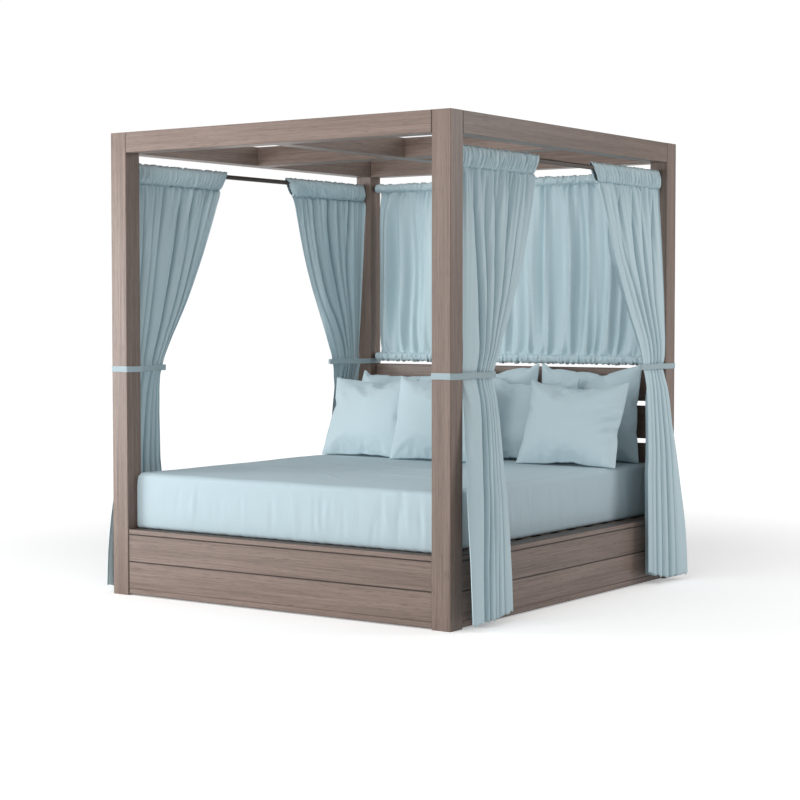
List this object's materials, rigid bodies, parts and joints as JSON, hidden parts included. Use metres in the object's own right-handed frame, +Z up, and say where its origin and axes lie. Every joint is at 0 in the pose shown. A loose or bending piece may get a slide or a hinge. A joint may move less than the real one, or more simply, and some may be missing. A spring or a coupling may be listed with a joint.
{
  "type": "outdoor canopy daybed",
  "caption": "Outdoor daybed with a post-and-beam canopy frame, tied side curtains, gathered back curtain, boarded base and headboard, mattress and loose pillows.",
  "frame": {"origin": "middle of the plan at ground level, under the bed", "axes": "+X to the right seen from the foot, +Y from the foot to the headboard, +Z up"},
  "size_m": [2.344, 2.2656, 2.4],
  "materials": {
    "stained_wood": "matt greyed brown stain with visible grain",
    "inner_wood": "sawn softwood, unfinished",
    "rod_metal": "satin dark bronze powder coat",
    "curtain_fabric": "plain weave outdoor canvas, pale blue",
    "sheet_fabric": "smooth woven fitted sheet, pale blue",
    "pillow_fabric": "plain weave pillow cover, pale blue"
  },
  "bodies": {
    "frame": {"post_front_left": "stained_wood", "post_front_right": "stained_wood", "post_back_left": "stained_wood", "post_back_right": "stained_wood", "roof_beam_front": "stained_wood", "roof_beam_back": "stained_wood", "roof_beam_left": "stained_wood", "roof_beam_right": "stained_wood", "cross_joist_left": "stained_wood", "cross_joist_right": "stained_wood", "long_joist": "stained_wood", "headboard_board_1": "stained_wood", "headboard_board_2": "stained_wood", "headboard_board_3": "stained_wood", "headboard_board_4": "stained_wood", "base_front_cap": "stained_wood", "base_front_upper_board": "stained_wood", "base_front_lower_board": "stained_wood", "base_back_cap": "stained_wood", "base_back_upper_board": "stained_wood", "base_back_lower_board": "stained_wood", "base_left_cap": "stained_wood", "base_left_upper_board": "stained_wood", "base_left_lower_board": "stained_wood", "base_right_cap": "stained_wood", "base_right_upper_board": "stained_wood", "base_right_lower_board": "stained_wood", "ledger_left": "inner_wood", "ledger_right": "inner_wood", "ledger_front": "inner_wood", "ledger_back": "inner_wood", "centre_beam": "inner_wood", "centre_leg_front": "inner_wood", "centre_leg_back": "inner_wood", "slat_deck": "inner_wood", "rod_left": "rod_metal", "rod_right": "rod_metal", "rod_back_upper": "rod_metal", "rod_back_lower": "rod_metal", "tie_band_front_left": "curtain_fabric", "tie_band_front_right": "curtain_fabric", "tie_band_back_left": "curtain_fabric", "tie_band_back_right": "curtain_fabric", "back_curtain": "curtain_fabric"},
    "mattress": {"mattress": "sheet_fabric"},
    "pillow_back_left": {"pillow_back_left": "pillow_fabric"},
    "pillow_back_middle": {"pillow_back_middle": "pillow_fabric"},
    "pillow_back_right": {"pillow_back_right": "pillow_fabric"},
    "pillow_front_left": {"pillow_front_left": "pillow_fabric"},
    "pillow_front_centre_left": {"pillow_front_centre_left": "pillow_fabric"},
    "pillow_front_centre_right": {"pillow_front_centre_right": "pillow_fabric"},
    "pillow_front_right": {"pillow_front_right": "pillow_fabric"},
    "curtain_front_left": {"curtain_header_front_left": "curtain_fabric", "curtain_drop_front_left": "curtain_fabric"},
    "curtain_front_right": {"curtain_header_front_right": "curtain_fabric", "curtain_drop_front_right": "curtain_fabric"},
    "curtain_back_left": {"curtain_header_back_left": "curtain_fabric", "curtain_drop_back_left": "curtain_fabric"},
    "curtain_back_right": {"curtain_header_back_right": "curtain_fabric", "curtain_drop_back_right": "curtain_fabric"}
  },
  "joints": [
    {"name": "mattress_lift", "type": "slide", "parent": "frame", "child": "mattress", "axis": [0, 0, 1], "range_m": [0, 0.1]},
    {"name": "pillow_back_left_lift", "type": "slide", "parent": "mattress", "child": "pillow_back_left", "axis": [0, 0.2588, 0.9659], "range_m": [0, 0.15]},
    {"name": "pillow_back_middle_lift", "type": "slide", "parent": "mattress", "child": "pillow_back_middle", "axis": [0, 0.0698, 0.9976], "range_m": [0, 0.12]},
    {"name": "pillow_back_right_lift", "type": "slide", "parent": "mattress", "child": "pillow_back_right", "axis": [0, 0, 1], "range_m": [0, 0.12]},
    {"name": "pillow_front_left_lift", "type": "slide", "parent": "mattress", "child": "pillow_front_left", "axis": [0, 0.2588, 0.9659], "range_m": [0, 0.15]},
    {"name": "pillow_front_centre_left_lift", "type": "slide", "parent": "mattress", "child": "pillow_front_centre_left", "axis": [0, 0.2079, 0.9781], "range_m": [0, 0.15]},
    {"name": "pillow_front_centre_right_lift", "type": "slide", "parent": "mattress", "child": "pillow_front_centre_right", "axis": [0, 0.2079, 0.9781], "range_m": [0, 0.12]},
    {"name": "pillow_front_right_lift", "type": "slide", "parent": "mattress", "child": "pillow_front_right", "axis": [0, 0.2079, 0.9781], "range_m": [0, 0.15]},
    {"name": "curtain_front_left_slide", "type": "slide", "parent": "frame", "child": "curtain_front_left", "axis": [0, 1, 0], "range_m": [0, 0.24], "deforming": ["curtain_drop_front_left"]},
    {"name": "curtain_front_right_slide", "type": "slide", "parent": "frame", "child": "curtain_front_right", "axis": [0, 1, 0], "range_m": [0, 0.24], "deforming": ["curtain_drop_front_right"]},
    {"name": "curtain_back_left_slide", "type": "slide", "parent": "frame", "child": "curtain_back_left", "axis": [0, -1, 0], "range_m": [0, 0.24], "deforming": ["curtain_drop_back_left"]},
    {"name": "curtain_back_right_slide", "type": "slide", "parent": "frame", "child": "curtain_back_right", "axis": [0, -1, 0], "range_m": [0, 0.24], "deforming": ["curtain_drop_back_right"]}
  ]
}
